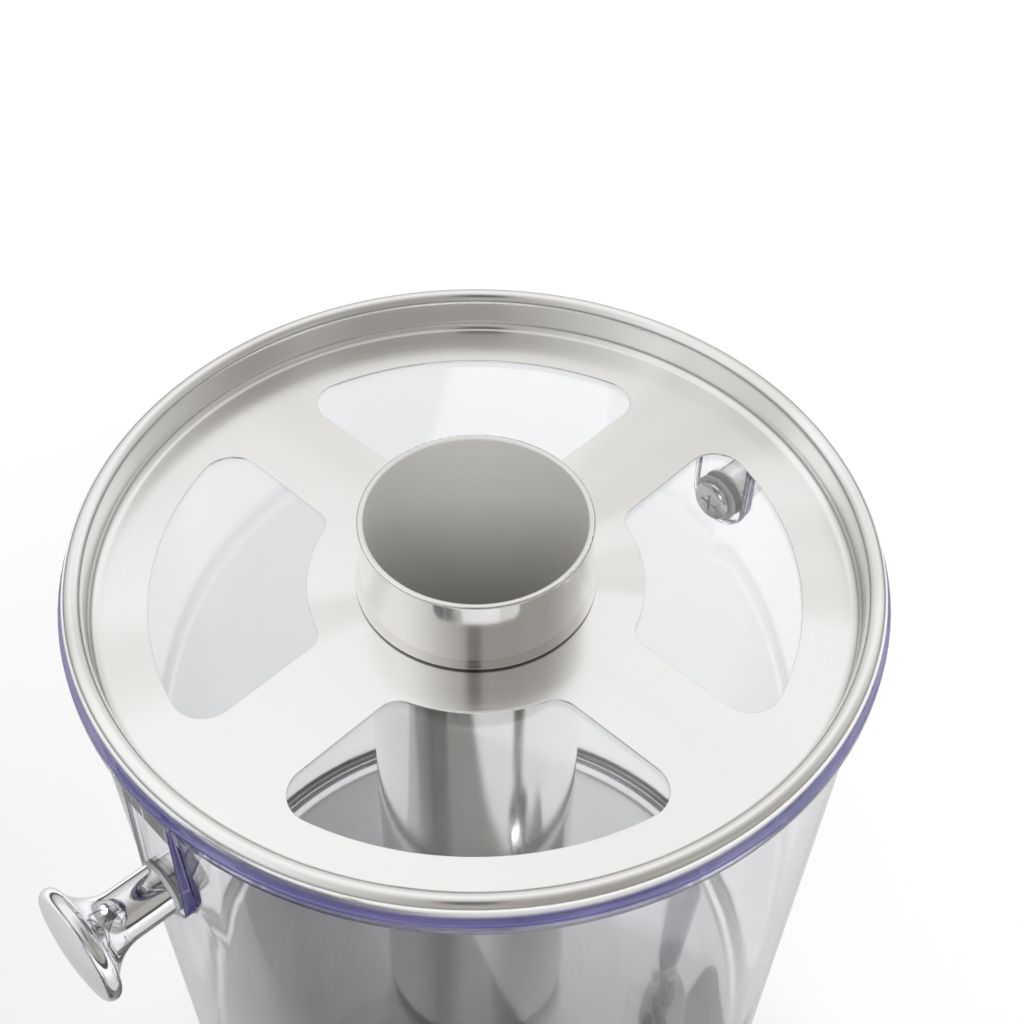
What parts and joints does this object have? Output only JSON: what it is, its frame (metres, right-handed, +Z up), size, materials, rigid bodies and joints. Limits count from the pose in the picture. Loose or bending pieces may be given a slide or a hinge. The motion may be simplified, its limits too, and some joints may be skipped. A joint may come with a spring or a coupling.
{
  "type": "double drink dispenser",
  "caption": "Drink dispenser with clear lidded tanks on steel pedestals, chill tubes, lever taps and drip trays on one base.",
  "frame": {"origin": "on the table, under the middle of the base", "axes": "+X along the row of tanks, +Y from the taps to the back, +Z up"},
  "size_m": [0.6354, 0.34, 0.4538],
  "materials": {
    "base_steel": "satin stainless sheet",
    "lid_steel": "bright polished stainless sheet",
    "tube_steel": "polished stainless tube",
    "tray_steel": "satin stainless sheet",
    "knob_chrome": "bright chrome",
    "tap_chrome": "bright chrome",
    "fastener_steel": "plain stainless",
    "spring_steel": "plain stainless",
    "clear_tank": "clear polycarbonate",
    "clear_pane": "clear polycarbonate",
    "silicone": "milky silicone",
    "rubber": "black rubber",
    "grip_black": "black moulded plastic"
  },
  "bodies": {
    "base": {"base_plinth": "base_steel", "base_rails": "base_steel", "base_feet": "rubber", "foot_screws": "fastener_steel", "foot_nuts": "fastener_steel", "left_pedestal": "base_steel", "left_pedestal_screws": "fastener_steel", "left_pedestal_nuts": "fastener_steel", "left_seat_ring": "silicone", "right_pedestal": "base_steel", "right_pedestal_screws": "fastener_steel", "right_pedestal_nuts": "fastener_steel", "right_seat_ring": "silicone"},
    "left_tank": {"left_tank": "clear_tank", "left_outer_knob": "knob_chrome", "left_inner_knob": "knob_chrome", "left_knob_washers": "clear_pane", "left_knob_screws": "fastener_steel", "left_tap_body": "tap_chrome", "left_tap_washers": "silicone", "left_tap_nut": "tap_chrome", "left_tap_bonnet": "tap_chrome", "left_tap_pin": "spring_steel", "left_tap_spring": "spring_steel"},
    "left_lid": {"left_lid": "lid_steel", "left_lid_pane": "clear_pane"},
    "left_chill_tube": {"left_chill_tube": "tube_steel"},
    "left_tap_lever": {"left_tap_lever": "tap_chrome", "left_tap_grip": "grip_black"},
    "left_tap_plunger": {"left_tap_plunger": "spring_steel", "left_tap_seal": "silicone"},
    "left_drip_tray": {"left_drip_tray": "tray_steel"},
    "left_drip_grille": {"left_drip_grille": "tray_steel"},
    "right_tank": {"right_tank": "clear_tank", "right_outer_knob": "knob_chrome", "right_inner_knob": "knob_chrome", "right_knob_washers": "clear_pane", "right_knob_screws": "fastener_steel", "right_tap_body": "tap_chrome", "right_tap_washers": "silicone", "right_tap_nut": "tap_chrome", "right_tap_bonnet": "tap_chrome", "right_tap_pin": "spring_steel", "right_tap_spring": "spring_steel"},
    "right_lid": {"right_lid": "lid_steel", "right_lid_pane": "clear_pane"},
    "right_chill_tube": {"right_chill_tube": "tube_steel"},
    "right_tap_lever": {"right_tap_lever": "tap_chrome", "right_tap_grip": "grip_black"},
    "right_tap_plunger": {"right_tap_plunger": "spring_steel", "right_tap_seal": "silicone"},
    "right_drip_tray": {"right_drip_tray": "tray_steel"},
    "right_drip_grille": {"right_drip_grille": "tray_steel"}
  },
  "joints": [
    {"name": "left_tank_lift", "type": "slide", "parent": "base", "child": "left_tank", "axis": [0, 0, 1], "range_m": [0, 0.08]},
    {"name": "left_lid_lift", "type": "slide", "parent": "left_tank", "child": "left_lid", "axis": [0, 0, 1], "range_m": [0, 0.25]},
    {"name": "left_tube_lift", "type": "slide", "parent": "left_lid", "child": "left_chill_tube", "axis": [0, 0, 1], "range_m": [0, 0.25]},
    {"name": "left_lever_pull", "type": "hinge", "parent": "left_tank", "child": "left_tap_lever", "pos_m": [-0.16962, -0.1109, 0.2598], "axis": [1, 0, 0], "range_deg": [0, 22], "stiffness_Nm_per_rad": 0.01, "springref_deg": -22.92},
    {"name": "left_plunger_lift", "type": "slide", "parent": "left_tank", "child": "left_tap_plunger", "axis": [0, 0, 1], "range_m": [0, 0.0035], "deforming": ["left_tap_spring"]},
    {"name": "left_tray_lift", "type": "slide", "parent": "base", "child": "left_drip_tray", "axis": [0, 0, 1], "range_m": [0, 0.06]},
    {"name": "left_grille_lift", "type": "slide", "parent": "left_drip_tray", "child": "left_drip_grille", "axis": [0, 0, 1], "range_m": [0, 0.04]},
    {"name": "right_tank_lift", "type": "slide", "parent": "base", "child": "right_tank", "axis": [0, 0, 1], "range_m": [0, 0.08]},
    {"name": "right_lid_lift", "type": "slide", "parent": "right_tank", "child": "right_lid", "axis": [0, 0, 1], "range_m": [0, 0.25]},
    {"name": "right_tube_lift", "type": "slide", "parent": "right_lid", "child": "right_chill_tube", "axis": [0, 0, 1], "range_m": [0, 0.25]},
    {"name": "right_lever_pull", "type": "hinge", "parent": "right_tank", "child": "right_tap_lever", "pos_m": [0.16962, -0.1109, 0.2598], "axis": [1, 0, 0], "range_deg": [0, 22], "stiffness_Nm_per_rad": 0.01, "springref_deg": -22.92},
    {"name": "right_plunger_lift", "type": "slide", "parent": "right_tank", "child": "right_tap_plunger", "axis": [0, 0, 1], "range_m": [0, 0.0035], "deforming": ["right_tap_spring"]},
    {"name": "right_tray_lift", "type": "slide", "parent": "base", "child": "right_drip_tray", "axis": [0, 0, 1], "range_m": [0, 0.06]},
    {"name": "right_grille_lift", "type": "slide", "parent": "right_drip_tray", "child": "right_drip_grille", "axis": [0, 0, 1], "range_m": [0, 0.04]}
  ],
  "couplings": [
    {"joint": "left_plunger_lift", "follows": "left_lever_pull", "m_per_rad": 0.009},
    {"joint": "right_plunger_lift", "follows": "right_lever_pull", "m_per_rad": 0.009}
  ]
}
